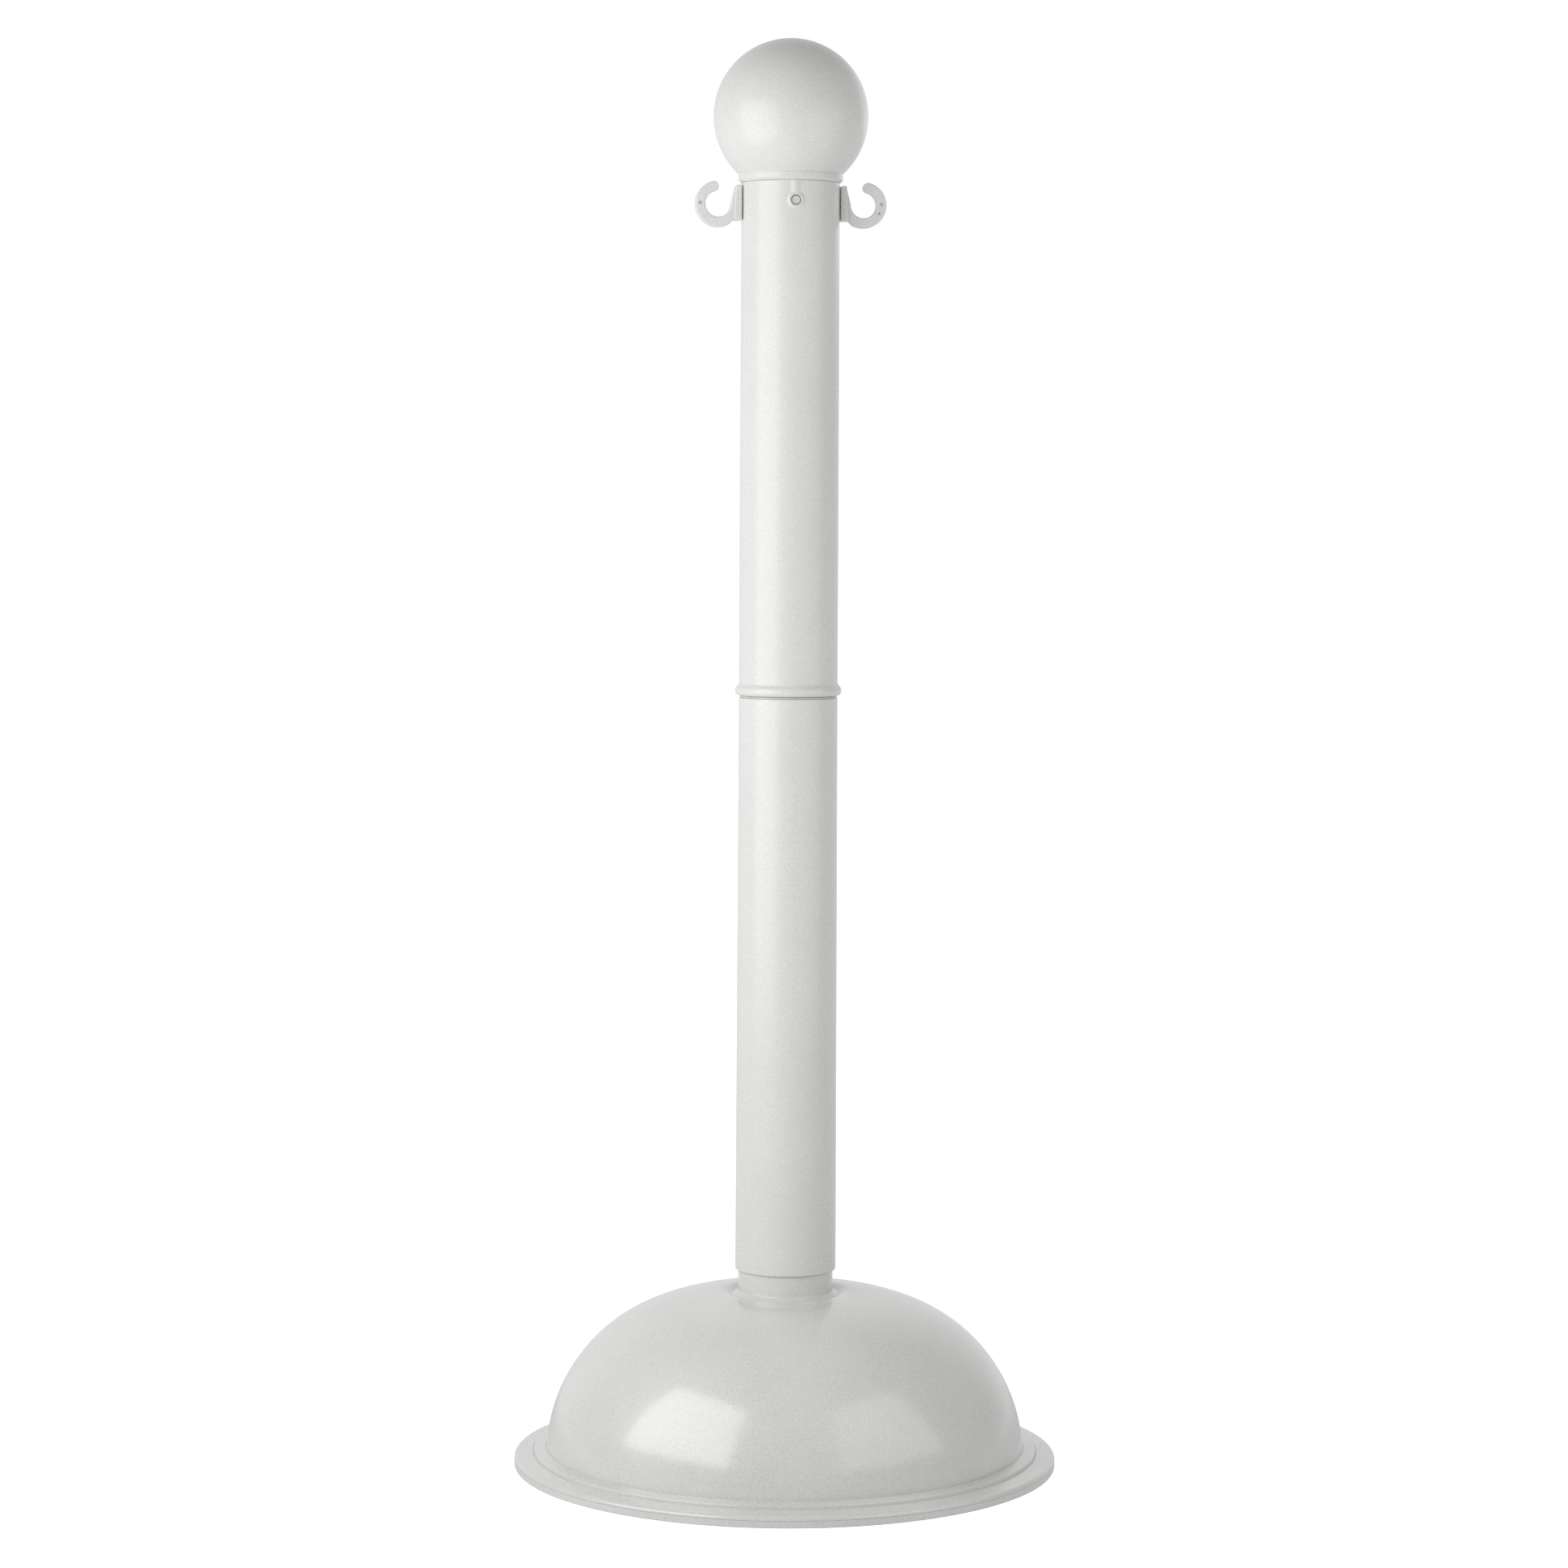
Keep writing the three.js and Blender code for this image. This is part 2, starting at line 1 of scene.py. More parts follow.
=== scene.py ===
"""The looks of a plastic chain stanchion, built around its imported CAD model.

Each CAD node is stood for by a finer mesh of the same size, on the same body: turned pieces with
their roundings, the pole's moulded ridges and lips, and hooks with rounded edges and ejector marks.
Sizes are in millimetres; the mesh helpers turn them into Blender's metres.
"""

import math

import bmesh
import bpy
from mathutils import Matrix, Vector


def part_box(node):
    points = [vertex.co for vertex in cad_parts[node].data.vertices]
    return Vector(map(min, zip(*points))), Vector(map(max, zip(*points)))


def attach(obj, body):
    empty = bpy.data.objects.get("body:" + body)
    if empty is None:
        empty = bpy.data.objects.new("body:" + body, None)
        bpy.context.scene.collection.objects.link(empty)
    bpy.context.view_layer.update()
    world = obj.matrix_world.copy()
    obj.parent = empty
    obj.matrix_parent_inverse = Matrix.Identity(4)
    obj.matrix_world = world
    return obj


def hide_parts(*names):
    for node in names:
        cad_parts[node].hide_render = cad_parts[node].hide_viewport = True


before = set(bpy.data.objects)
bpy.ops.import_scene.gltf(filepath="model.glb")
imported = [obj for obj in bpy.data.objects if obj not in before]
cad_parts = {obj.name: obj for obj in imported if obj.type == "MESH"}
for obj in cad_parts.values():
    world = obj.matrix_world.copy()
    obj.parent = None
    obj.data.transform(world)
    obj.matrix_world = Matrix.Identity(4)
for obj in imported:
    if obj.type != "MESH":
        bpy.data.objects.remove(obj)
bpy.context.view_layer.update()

MM = 0.001
X, Y, Z = range(3)


def low(node, axis):
    """The CAD node's lowest coordinate on an axis."""
    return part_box(node)[0][axis] / MM


def high(node, axis):
    """The CAD node's highest coordinate on an axis."""
    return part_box(node)[1][axis] / MM


# ---- Sizes, in millimetres -----------------------------------------------------------------------
GAP = 0.3  # the CAD's clearance between touching pieces
EDGE = 0.4  # rounding of an ordinary moulded edge
SOFT_EDGE = 1.0
FINE_EDGE = 0.2

# Base
BASE_RADIUS = high("base_shell", X)
SHELL_LOW = low("base_shell", Z)
SPIGOT_TOP = high("base_shell", Z)
BASE_WALL = 3.0
FLANGE_TOP = 8.0
FLANGE_ROUNDING = 2.6
STEP_RADIUS = 188.4
STEP_LOW = 10.0
STEP_HIGH = 12.6
STEP_ROUNDING = 1.2
STEP_DRAFT = 0.4
INNER_STEP = 0.6
GROOVE_WIDTH = 1.2  # of the grooves at the foot of the step and of the dome
GROOVE_DEPTH = 0.8
GROOVE_EDGE = 0.3
LEDGE_FALL = 0.3  # the ledge at the dome's foot lies this far under it
DOME_FOOT_RADIUS = 178.6
DOME_FOOT = 14.0
DOME_RISE = 118.3
DOME_RADIUS_POWER = 3.0
DOME_HEIGHT_POWER = 1.776
MOAT_RADIUS = 51.0
NECK_FOOT_RADIUS = 40.4
NECK_FOOT_LOW = 128.3
NECK_FOOT_HIGH = 131.5
NECK_RADIUS = 35.5
NECK_FILLET = 1.2
NECK_TOP = low("lower_tube", Z) - GAP
SPIGOT_RADIUS = 34.8
SPIGOT_ROUNDING = 2.0

# Bottom pan and filler
SEAM = 0.1  # the seam in the rim, finer than in the CAD
SEAM_EDGE = 0.15
PAN_EDGE = SHELL_LOW - SEAM
PAN_THICKNESS = 2.5
PAN_LIFT = 6.5
PAN_FOOT_RADIUS = 166.0
PAN_SLOPE = 6.0
PAN_LIP = 3.5
PAN_RIB_RADIUS = 174.9
PAN_RIB_WIDTH = 2.7
PAN_BEND = 2.0  # rounding where the pan's floor bends down to its foot
FILLER_Y = (low("filler_plug", Y) + high("filler_plug", Y)) / 2
FILLER_BORE = 12.8
FILLER_BOSS_RADIUS = 15.5
FILLER_BOSS_TOP = high("base_pan", Z)
THREAD_PITCH = 3.0
THREAD_DEPTH = 0.7
THREAD_TURNS = 3
THREAD_WIDTH = 0.8  # of the pitch
THREAD_FLANK = 0.3  # of the pitch
THREAD_CLEARANCE = 0.4
SEAL_CLEARANCE = 0.2
SEAL_EDGE = 0.5
PLUG_HEAD_RADIUS = high("filler_plug", X)
PLUG_HEAD_LOW = low("filler_plug", Z)
PLUG_HEAD_HIGH = 4.5
PLUG_TOP = high("filler_plug", Z)
PLUG_SLOT_LENGTH = 24.0
PLUG_SLOT_WIDTH = 4.0
PLUG_SLOT_DEPTH = 1.6

# Pole
TUBE_WALL = 2.2
LOWER_FOOT = low("lower_tube", Z)
LOWER_TOP = high("lower_tube", Z)
LOWER_FOOT_RADIUS = high("lower_tube", X)
LOWER_TOP_RADIUS = 36.7
FOOT_ROUNDING = 2.0
LOWER_TOP_ROUNDING = 0.8
UPPER_FOOT = low("upper_tube", Z)
POLE_TOP = high("upper_tube", Z)
UPPER_FOOT_RADIUS = 36.8
UPPER_TOP_RADIUS = 36.2
BEAD_MIDDLE = 581.6
BEAD_PROUD = 2.8
BEAD_HALF_HEIGHT = 3.8
BEAD_START, BEAD_END = -64, 48  # the part of the bead that is a plain ellipse, in degrees
BEAD_RUN_OUT = [(1.6, -0.6, 1.5), (0.0, 1.2, 4.0)]  # outwards, over the bead's top, rounding
COUPLER_RADIUS = 34.0
COUPLER_WALL = 2.5
COUPLER_LOW = low("coupler_sleeve", Z)
COUPLER_HIGH = high("coupler_sleeve", Z)
COUPLER_RIB_RADIUS = high("coupler_sleeve", X)
COUPLER_RIB_HALF = 0.4

# Ball top and latches
BALL_RADIUS = high("ball_top", X)
BALL_CENTRE = high("ball_top", Z) - BALL_RADIUS
BALL_WALL = 2.5
COLLAR_RADIUS = 38.55
COLLAR_TOP = 961.3
COLLAR_CHAMFER = 1.8
COLLAR_FOOT_EDGE = 0.5
COLLAR_EDGE = 0.8
COLLAR_SHOULDER = 1.1
BALL_START = 0.8  # the ball's first ring lies this far over the collar
CREASE_INSET = 0.1  # the crease between them, inside the ball's first ring and under it
CREASE_DROP = 0.7
SKIRT_RADIUS = 33.7
SKIRT_WALL = 2.5
SKIRT_LOW = low("ball_top", Z)
SKIRT_EDGE = 0.5
SKIRT_LEAD_IN = 1.2
LATCH_LOW = low("latch_front", Z)
LATCH_ROOT = high("latch_front", Z)
LATCH_WIDTH = 13.4
LATCH_LEAD_IN = 0.8
HOLE_HEIGHT = 941.2
HOLE_RADIUS = 3.8
STUD_RADIUS = 3.3
STUD_FACE = high("latch_rear", Y)
STUD_ROUNDING = 0.4
CHANNEL_WIDTH = 7.5
CHANNEL_FLOOR = 35.4
RIDGE_PROUD = 0.9
RIDGE_WIDTH = 9.5
LIP_RADIUS = 6.8
LIP_FLAT = 4.7  # outer radius of the lip's flat crest
LIP_PROUD = 0.8
LIP_ROUNDING = 0.25

# Chain hooks
PLATE_BACK = 36.55
PLATE_LOW = 928.1
PLATE_HIGH = 953.7
PLATE_THICK_LOW = 5.7
PLATE_THICK_HIGH = 4.5
PLATE_WIDTH = high("hook_right", Y) - low("hook_right", Y)
PLATE_ROUNDING = 0.7
HOOK_OUTER = 16.9
HOOK_INNER = 9.5
HOOK_CENTRE = high("hook_right", X) - HOOK_OUTER
HOOK_HEIGHT = 940.0
HOOK_WIDTH = 9.0
HOOK_ROUNDING = 1.1
HOOK_TIP_ANGLE = 75.0
HOOK_BEND_START = -122.0
ARM_ROOT = 2.0  # the arm and the peg both start this deep in the plate
ARM_INSET = 0.4  # from the plate's ends
ARM_HEEL = 0.6
ARM_PULL = 7.0  # where the curve under the plate aims
PEG_RADIUS = 3.5
PEG_END = low("hook_right", X)
PEG_NOSE = 1.0
PEG_TAPER = 0.9
PEG_EDGE = 0.3
PEG_SPLIT = 1.6
PEG_SPLIT_ROOT = 2.5  # the split stops this far behind the plate
PEG_CLEARANCE = 0.7
EJECTOR_MARKS = [(-1, 3.0, 1.3), (-1, -28.0, 1.0), (1, 3.0, 1.3)]  # side, angle, radius
EJECTOR_DEPTH = 1.4

# ---- Mesh helpers --------------------------------------------------------------------------------
ARC_STEPS = 6  # steps of a small rounding
EDGE_STEPS = 4  # steps of a slab's rounded edge
SHARP = math.radians(32)  # an edge that turns further than this stays sharp


def even_angles(count):
    return [2 * math.pi * i / count for i in range(count)]


BASE_ANGLES = even_angles(320)
POLE_ANGLES = even_angles(192)
SMALL_ANGLES = even_angles(48)


def arc(r, z, radius, start, end, steps, height=None):
    """Points (r, z) on an arc, or on an ellipse of another height; the angles are in degrees."""
    turns = [math.radians(start + (end - start) * i / steps) for i in range(steps + 1)]
    tall = radius if height is None else height
    return [(r + radius * math.cos(a), z + tall * math.sin(a)) for a in turns]


def rounded(corners):
    """A closed outline. A corner given as (r, z, rounding) becomes a tangent arc of that radius."""
    outline = []
    befores, afters = corners[-1:] + corners[:-1], corners[1:] + corners[:1]
    for before, corner, after in zip(befores, corners, afters):
        if len(corner) == 2:
            outline.append(corner)
            continue
        point = Vector(corner[:2])
        back = Vector(before[:2]) - point
        on = Vector(after[:2]) - point
        half = back.angle(on) / 2
        run = min(corner[2] / math.tan(half), 0.48 * back.length, 0.48 * on.length)
        radius = run * math.tan(half)
        inwards = (back.normalized() + on.normalized()).normalized()
        centre = point + inwards * radius / math.sin(half)
        spoke = point + back.normalized() * run - centre
        side = math.copysign(1, on.x * back.y - on.y * back.x)
        sweep = side * (math.pi - 2 * half)
        for i in range(ARC_STEPS + 1):
            outline.append(tuple(centre + Matrix.Rotation(sweep * i / ARC_STEPS, 2) @ spoke))
    return outline


def turned(profile, angles, relief=None, whole=True):
    """A closed mesh: a profile turned about Z. The profile runs counterclockwise in radius and
    height. relief(angle, r, z) is added to the radius. If not whole, the turn's ends are capped."""
    mesh = bmesh.new()
    rings = []
    for r, z in profile:
        if r == 0:
            rings.append([mesh.verts.new((0, 0, z * MM))])
            continue
        reach = [(r + (relief(a, r, z) if relief else 0)) * MM for a in angles]
        spots = [(d * math.cos(a), d * math.sin(a), z * MM) for a, d in zip(angles, reach)]
        rings.append([mesh.verts.new(spot) for spot in spots])
    steps = len(angles) if whole else len(angles) - 1
    for lower, upper in zip(rings, rings[1:] + rings[:1]):
        if len(lower) == len(upper) == 1:
            continue
        for i in range(steps):
            j = (i + 1) % len(angles)
            ends = [(lower, i), (lower, j), (upper, j), (upper, i)]
            mesh.faces.new(dict.fromkeys(ring[k % len(ring)] for ring, k in ends))
    if not whole:
        mesh.faces.new([ring[0] for ring in rings])
        mesh.faces.new([ring[-1] for ring in reversed(rings)])
    return mesh


def slab(outline, width, rounding):
    """A closed mesh, centred on y 0: an outline in X and Z, counterclockwise seen from the front,
    made width thick, with rounded edges. outline(inset) gives it drawn in by an inset, in as many
    points."""
    turns = [math.pi / 2 * i / EDGE_STEPS for i in range(EDGE_STEPS + 1)]
    edge = [(rounding * (1 - math.sin(t)), width / 2 - rounding * (1 - math.cos(t))) for t in turns]
    layers = [(inset, -y) for inset, y in edge] + [(inset, y) for inset, y in reversed(edge)]
    mesh = bmesh.new()
    rings = [
        [mesh.verts.new((x * MM, y * MM, z * MM)) for x, z in outline(inset)] for inset, y in layers
    ]
    for front, back in zip(rings, rings[1:]):
        for i in range(len(front)):
            j = (i + 1) % len(front)
            mesh.faces.new((front[i], back[i], back[j], front[j]))
    mesh.faces.new(rings[0])
    mesh.faces.new(reversed(rings[-1]))
    return mesh


def moved(mesh, matrix):
    bmesh.ops.transform(mesh, matrix=matrix, verts=mesh.verts)
    return mesh


def spun(mesh, degrees):
    """The mesh turned about Z."""
    return moved(mesh, Matrix.Rotation(math.radians(degrees), 4, "Z"))


def box(lowest, highest):
    """A closed box, for cutting with."""
    mesh = bmesh.new()
    bmesh.ops.create_cube(mesh, size=1)
    size = [(b - a) * MM for a, b in zip(lowest, highest)]
    middle = [(a + b) / 2 * MM for a, b in zip(lowest, highest)]
    return moved(mesh, Matrix.Translation(middle) @ Matrix.Diagonal((*size, 1)))


def spoke(profile, degrees, height):
    """A small piece turned about a horizontal line through the pole's axis: the profile's z runs
    outwards, in the direction given in degrees from +X."""
    lift = Matrix.Translation((0, 0, height * MM))
    lean = Matrix.Rotation(math.radians(90), 4, "Y")
    return spun(moved(turned(profile, SMALL_ANGLES), lift @ lean), degrees)


def pin(radius, inner, outer):
    """The profile of a plain round bar between two distances."""
    return [(0, inner), (radius, inner), (radius, outer), (0, outer)]


def boolean(mesh, others, operation):
    """mesh cut by, or joined with, the other closed meshes, all of which are used up."""
    objects = []
    for part in [mesh, *others]:
        data = bpy.data.meshes.new("part")
        part.to_mesh(data)
        part.free()
        objects.append(bpy.data.objects.new("part", data))
        bpy.context.scene.collection.objects.link(objects[-1])
    for tool in objects[1:]:
        modifier = objects[0].modifiers.new("boolean", "BOOLEAN")
        modifier.operation = operation
        modifier.solver = "EXACT"
        modifier.object = tool
    evaluated = objects[0].evaluated_get(bpy.context.evaluated_depsgraph_get())
    made = bpy.data.meshes.new_from_object(evaluated)
    result = bmesh.new()
    result.from_mesh(made)
    for data in [made, *[o.data for o in objects]]:
        bpy.data.meshes.remove(data)
    bmesh.ops.dissolve_degenerate(result, dist=1e-6, edges=result.edges)
    return result


def cut(mesh, *others):
    return boolean(mesh, others, "DIFFERENCE")


def joined(mesh, *others):
    return boolean(mesh, others, "UNION")


def piece(node, body, material, mesh):
    """The object that stands for a CAD node and moves with its body."""
    for face in mesh.faces:
        face.smooth = True
    for edge in mesh.edges:
        edge.smooth = edge.is_manifold and edge.calc_face_angle() < SHARP
    data = bpy.data.meshes.new(node + "_fine")
    mesh.to_mesh(data)
    mesh.free()
    data.materials.append(material)
    made = bpy.data.objects.new(node + "_fine", data)
    bpy.context.scene.collection.objects.link(made)
    weighted = made.modifiers.new("even shading", "WEIGHTED_NORMAL")
    weighted.keep_sharp = True
    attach(made, body)
    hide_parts(node)
    return made


# ---- Materials -----------------------------------------------------------------------------------
def plastic(name, colour, roughness, grain, ripple, mottle, **sockets):
    """Moulded plastic. grain is the depth of its fine spark-eroded stipple and ripple that of its
    long waves, in millimetres; mottle is how far its colour wanders; sockets are other plain shader
    values."""
    material = bpy.data.materials.new(name)
    material.use_nodes = True
    nodes, links = material.node_tree.nodes, material.node_tree.links
    shader = nodes["Principled BSDF"]
    place = nodes.new("ShaderNodeTexCoord")

    def noise(scale, detail):
        texture = nodes.new("ShaderNodeTexNoise")
        texture.inputs["Scale"].default_value = scale
        texture.inputs["Detail"].default_value = detail
        links.new(place.outputs["Object"], texture.inputs["Vector"])
        return texture.outputs["Fac"]

    def spread(main, other, share, reach, lowest, highest):
        """A noise times a share plus another noise, stretched over a range of values. Their sum
        keeps within about the reach of its middle."""
        total = nodes.new("ShaderNodeMath")
        total.operation = "MULTIPLY_ADD"
        total.inputs[1].default_value = share
        links.new(main, total.inputs[0])
        links.new(other, total.inputs[2])
        middle = (1 + share) / 2
        mapped = nodes.new("ShaderNodeMapRange")
        ranges = (middle - reach, middle + reach, lowest, highest)
        for socket, value in zip(mapped.inputs[1:5], ranges):
            socket.default_value = value
        links.new(total.outputs["Value"], mapped.inputs["Value"])
        return mapped.outputs["Result"]

    fine = noise(GRAIN_SCALE, detail=2)
    broad = noise(MOTTLE_SCALE, detail=3)
    waves = noise(RIPPLE_SCALE, detail=1)

    tint = nodes.new("ShaderNodeMix")
    tint.data_type = "RGBA"
    tint.inputs["A"].default_value = (*[c * (1 - mottle) for c in colour], 1)
    tint.inputs["B"].default_value = (*[c * (1 + mottle) for c in colour], 1)
    cloud = spread(fine, broad, share=2.5, reach=1.0, lowest=0, highest=1)
    links.new(cloud, tint.inputs["Factor"])
    links.new(tint.outputs["Result"], shader.inputs["Base Color"])
    wear_range = (roughness - ROUGHNESS_SPREAD, roughness + ROUGHNESS_SPREAD)
    wear = spread(broad, fine, 0.6, 0.35, *wear_range)
    links.new(wear, shader.inputs["Roughness"])

    previous = None
    for source, depth in ((waves, ripple), (fine, grain)):
        bump = nodes.new("ShaderNodeBump")
        bump.inputs["Strength"].default_value = 1
        bump.inputs["Distance"].default_value = depth * MM
        links.new(source, bump.inputs["Height"])
        if previous:
            links.new(previous.outputs["Normal"], bump.inputs["Normal"])
        previous = bump
    links.new(previous.outputs["Normal"], shader.inputs["Normal"])
    links.new(previous.outputs["Normal"], shader.inputs["Coat Normal"])
    for socket, value in sockets.items():
        shader.inputs[socket.replace("_", " ")].default_value = value
    return material


GRAIN_SCALE = 800.0  # stipple a little over a millimetre across
MOTTLE_SCALE = 14.0
RIPPLE_SCALE = 30.0
ROUGHNESS_SPREAD = 0.05

WHITE = (0.74, 0.735, 0.725)
GLOSS_WHITE = (0.72, 0.715, 0.705)
GREY = (0.33, 0.335, 0.35)
BLACK = (0.02, 0.02, 0.022)

satin_white = plastic(
    "satin_white_plastic", WHITE, roughness=0.26, grain=0.10, ripple=0.05, mottle=0.10
)
gloss_white = plastic(
    "gloss_white_plastic", GLOSS_WHITE, roughness=0.30, grain=0.04, ripple=0.10, mottle=0.16,
    Coat_Weight=1.0, Coat_Roughness=0.12, Coat_IOR=1.55,
)
grey_plastic = plastic("grey_plastic", GREY, roughness=0.5, grain=0.05, ripple=0.06, mottle=0.03)
seal_rubber = plastic("black_rubber", BLACK, roughness=0.8, grain=0.08, ripple=0.06, mottle=0.1)


# ---- Base ----------------------------------------------------------------------------------------
def dome(foot_radius, rise, smallest, steps):
    """The dome's profile, inwards from its foot: a superellipse that stops at a smallest radius."""
    profile = []
    for i in range(steps):
        a = math.pi / 2 * i / steps
        r = foot_radius * math.cos(a) ** (2 / DOME_RADIUS_POWER)
        if r > smallest:
            profile.append((r, DOME_FOOT + rise * math.sin(a) ** (2 / DOME_HEIGHT_POWER)))
    return profile


def dome_height(r):
    share = 1 - (r / DOME_FOOT_RADIUS) ** DOME_RADIUS_POWER
    return DOME_FOOT + DOME_RISE * share ** (1 / DOME_HEIGHT_POWER)


def moat(steps):
    """The dip around the neck, inwards to the foot of the neck's flare."""
    depth = dome_height(NECK_FOOT_RADIUS) - NECK_FOOT_LOW
    profile = []
    for i in range(steps + 1):
        share = 1 - i / steps
        r = NECK_FOOT_RADIUS + share * (MOAT_RADIUS - NECK_FOOT_RADIUS)
        profile.append((r, dome_height(r) - depth * (1 - share) ** 2))
    return profile


def flange_edge():
    """The rounding between the rim's upright wall and its sloping top."""
    slope = math.atan2(STEP_LOW - FLANGE_TOP, BASE_RADIUS - STEP_RADIUS)
    middle = FLANGE_TOP + FLANGE_ROUNDING * (math.tan(slope) - 1 / math.cos(slope))
    end = 90 - math.degrees(slope)
    return arc(BASE_RADIUS - FLANGE_ROUNDING, middle, FLANGE_ROUNDING, 0, end, 12)


def base_shell():
    bore = SPIGOT_RADIUS - BASE_WALL
    dome_inside = dome(DOME_FOOT_RADIUS - BASE_WALL, DOME_RISE - BASE_WALL, MOAT_RADIUS + 2, 24)
    inside = [
        (0, SPIGOT_TOP - BASE_WALL),
        (bore, SPIGOT_TOP - BASE_WALL, SPIGOT_ROUNDING),
        (bore, NECK_FOOT_LOW - BASE_WALL, SPIGOT_ROUNDING),
        *[(r, z - BASE_WALL) for r, z in reversed(moat(4))],
        *reversed(dome_inside),
        (DOME_FOOT_RADIUS - BASE_WALL, STEP_HIGH - BASE_WALL + 1),
        (STEP_RADIUS - BASE_WALL, STEP_HIGH - BASE_WALL),
        (STEP_RADIUS - INNER_STEP, STEP_LOW - BASE_WALL),
    ]
    rim = [
        (BASE_RADIUS, SHELL_LOW, SEAM_EDGE),
        *flange_edge(),
        (STEP_RADIUS + GROOVE_WIDTH, STEP_LOW, GROOVE_EDGE),
        (STEP_RADIUS, STEP_LOW - GROOVE_DEPTH, FINE_EDGE),
        (STEP_RADIUS - STEP_DRAFT, STEP_HIGH, STEP_ROUNDING),
        (DOME_FOOT_RADIUS + GROOVE_WIDTH, DOME_FOOT - LEDGE_FALL, GROOVE_EDGE),
        (DOME_FOOT_RADIUS, DOME_FOOT - GROOVE_DEPTH, FINE_EDGE),
    ]
    neck = [
        (NECK_RADIUS, NECK_FOOT_HIGH, NECK_FILLET),
        (NECK_RADIUS, NECK_TOP, EDGE),
        (SPIGOT_RADIUS, NECK_TOP),
        (SPIGOT_RADIUS, SPIGOT_TOP, SPIGOT_ROUNDING),
        (0, SPIGOT_TOP),
    ]
    wall = dome(DOME_FOOT_RADIUS, DOME_RISE, MOAT_RADIUS + 0.5, 96)[1:]
    *dip, foot = moat(14)
    return turned(rounded([*inside, *rim, *wall, *dip, (*foot, SOFT_EDGE), *neck]), BASE_ANGLES)


def upright(radius, bottom, top):
    """A round bar standing over the filler."""
    bar = turned([(0, bottom), (radius, bottom), (radius, top), (0, top)], SMALL_ANGLES)
    return moved(bar, Matrix.Translation((0, FILLER_Y * MM, 0)))


def base_pan():
    rib_inner = PAN_RIB_RADIUS - PAN_RIB_WIDTH
    slope_foot = PAN_FOOT_RADIUS + PAN_THICKNESS / 2
    middle = PAN_LIFT + PAN_THICKNESS
    profile = rounded([
        (0, PAN_LIFT),
        (PAN_FOOT_RADIUS - PAN_SLOPE, PAN_LIFT, PAN_BEND),
        (PAN_FOOT_RADIUS, 0, SOFT_EDGE),
        (BASE_RADIUS, 0, SOFT_EDGE),
        (BASE_RADIUS, PAN_EDGE, SEAM_EDGE),
        (BASE_RADIUS - PAN_LIP, PAN_EDGE, EDGE),
        (BASE_RADIUS - PAN_LIP, PAN_THICKNESS, EDGE),
        (PAN_RIB_RADIUS, PAN_THICKNESS),
        (PAN_RIB_RADIUS, middle, EDGE),
        (rib_inner, middle, EDGE),
        (rib_inner, PAN_THICKNESS),
        (slope_foot, PAN_THICKNESS, SOFT_EDGE),
        (slope_foot - PAN_SLOPE, middle, PAN_BEND),
        (0, middle),
    ])
    boss = upright(FILLER_BOSS_RADIUS, PAN_LIFT + PAN_THICKNESS / 2, FILLER_BOSS_TOP)
    bore = upright(FILLER_BORE, 0, FILLER_BOSS_TOP + 1)
    return cut(joined(turned(profile, BASE_ANGLES), boss), bore)


def filler_plug():
    crest = FILLER_BORE - THREAD_CLEARANCE
    root = crest - THREAD_DEPTH
    corners = [
        (0, PLUG_HEAD_LOW),
        (PLUG_HEAD_RADIUS, PLUG_HEAD_LOW, SOFT_EDGE),
        (PLUG_HEAD_RADIUS, PLUG_HEAD_HIGH, EDGE),
        (root, PLUG_HEAD_HIGH),
    ]
    for i in range(THREAD_TURNS):
        z = PLUG_HEAD_HIGH + (i + THREAD_WIDTH) * THREAD_PITCH
        thread_top = z + THREAD_WIDTH * THREAD_PITCH
        flank = THREAD_FLANK * THREAD_PITCH
        corners += [
            (root, z, FINE_EDGE),
            (crest, z + flank, FINE_EDGE),
            (crest, thread_top - flank, FINE_EDGE),
            (root, thread_top, FINE_EDGE),
        ]
    corners += [(root, PLUG_TOP, SOFT_EDGE), (0, PLUG_TOP)]
    half_length, half_width = PLUG_SLOT_LENGTH / 2, PLUG_SLOT_WIDTH / 2
    slot_top = PLUG_HEAD_LOW + PLUG_SLOT_DEPTH
    slot = box((-half_length, -half_width, 0), (half_length, half_width, slot_top))
    plug = cut(turned(rounded(corners), even_angles(96)), slot)
    return moved(plug, Matrix.Translation((0, FILLER_Y * MM, 0)))


def filler_seal():
    inner = FILLER_BORE + SEAL_CLEARANCE
    outer = high("filler_seal", X)
    bottom, top = low("filler_seal", Z), high("filler_seal", Z)
    corners = [(inner, bottom), (outer, bottom), (outer, top), (inner, top)]
    seal = turned(rounded([(*corner, SEAL_EDGE) for corner in corners]), even_angles(96))
    return moved(seal, Matrix.Translation((0, FILLER_Y * MM, 0)))


# ---- Pole ----------------------------------------------------------------------------------------
def lower_tube():
    inner_foot = LOWER_FOOT_RADIUS - TUBE_WALL
    inner_top = LOWER_TOP_RADIUS - TUBE_WALL
    return turned(rounded([
        (inner_foot, LOWER_FOOT, EDGE),
        (LOWER_FOOT_RADIUS, LOWER_FOOT, FOOT_ROUNDING),
        (LOWER_TOP_RADIUS, LOWER_TOP, LOWER_TOP_ROUNDING),
        (inner_top, LOWER_TOP, EDGE),
    ]), POLE_ANGLES)


